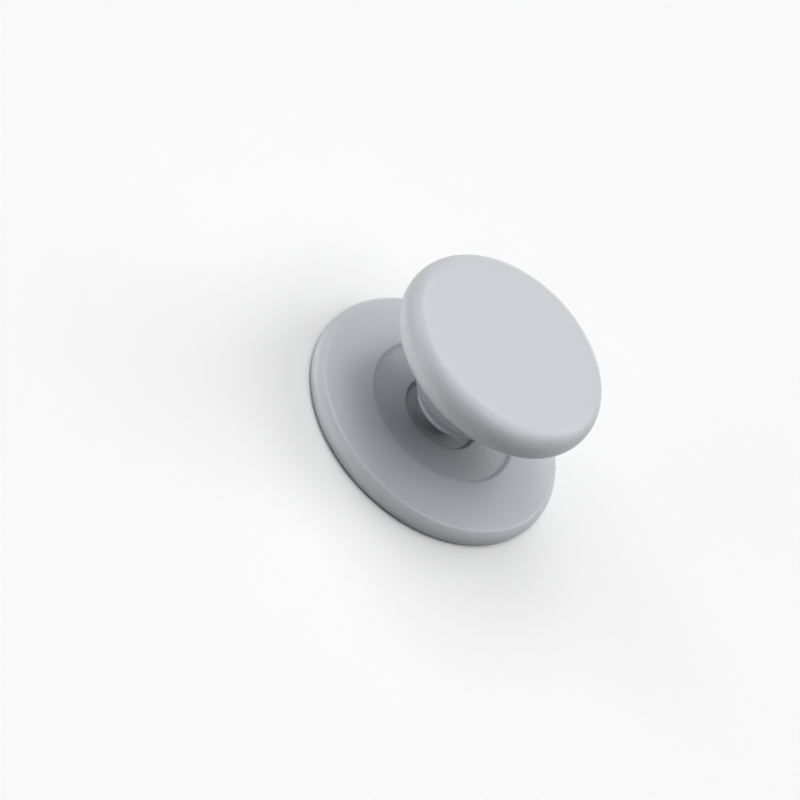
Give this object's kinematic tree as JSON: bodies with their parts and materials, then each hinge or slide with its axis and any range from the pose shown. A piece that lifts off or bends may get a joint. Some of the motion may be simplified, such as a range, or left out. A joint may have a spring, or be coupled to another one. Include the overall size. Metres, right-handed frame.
{
  "type": "collapsible phone grip",
  "caption": "Round soft-edged grip top on a folding elastomer stem, over a wide low magnetic base with a stepped round recess.",
  "frame": {"origin": "centre of the pad's face that meets the phone", "axes": "+Z along the grip's axis, away from the phone; the top stands pulled out"},
  "size_m": [0.0582, 0.0582, 0.0299],
  "materials": {
    "grey_shell": "satin",
    "stem_elastomer": "matte",
    "core_plastic": "satin",
    "yoke_steel": "satin",
    "magnet_nickel": "polished",
    "inner_plastic": "matte",
    "film": "matte",
    "pad_silicone": "matte"
  },
  "bodies": {
    "base": {"base_housing": "grey_shell", "accordion_stem": "stem_elastomer", "yoke_ring": "yoke_steel", "back_plate": "inner_plastic", "pad_film": "film", "grip_pad": "pad_silicone", "ring_magnet_01": "magnet_nickel", "ring_magnet_02": "magnet_nickel", "ring_magnet_03": "magnet_nickel", "ring_magnet_04": "magnet_nickel", "ring_magnet_05": "magnet_nickel", "ring_magnet_06": "magnet_nickel", "ring_magnet_07": "magnet_nickel", "ring_magnet_08": "magnet_nickel", "ring_magnet_09": "magnet_nickel", "ring_magnet_10": "magnet_nickel", "ring_magnet_11": "magnet_nickel", "ring_magnet_12": "magnet_nickel", "ring_magnet_13": "magnet_nickel", "ring_magnet_14": "magnet_nickel", "ring_magnet_15": "magnet_nickel", "ring_magnet_16": "magnet_nickel", "ring_magnet_17": "magnet_nickel", "ring_magnet_18": "magnet_nickel"},
    "stem_head": {"stem_core": "core_plastic"},
    "grip_top": {"top_cap": "grey_shell", "top_liner": "grey_shell", "bayonet_plug": "core_plastic"}
  },
  "joints": [
    {"name": "stem_collapse", "type": "slide", "parent": "base", "child": "stem_head", "axis": [0, 0, 1], "range_m": [-0.0172, 0], "deforming": ["accordion_stem"]},
    {"name": "top_twist", "type": "hinge", "parent": "stem_head", "child": "grip_top", "pos_m": [0, 0, 0.0261], "axis": [0, 0, 1], "range_deg": [0, 90]}
  ]
}
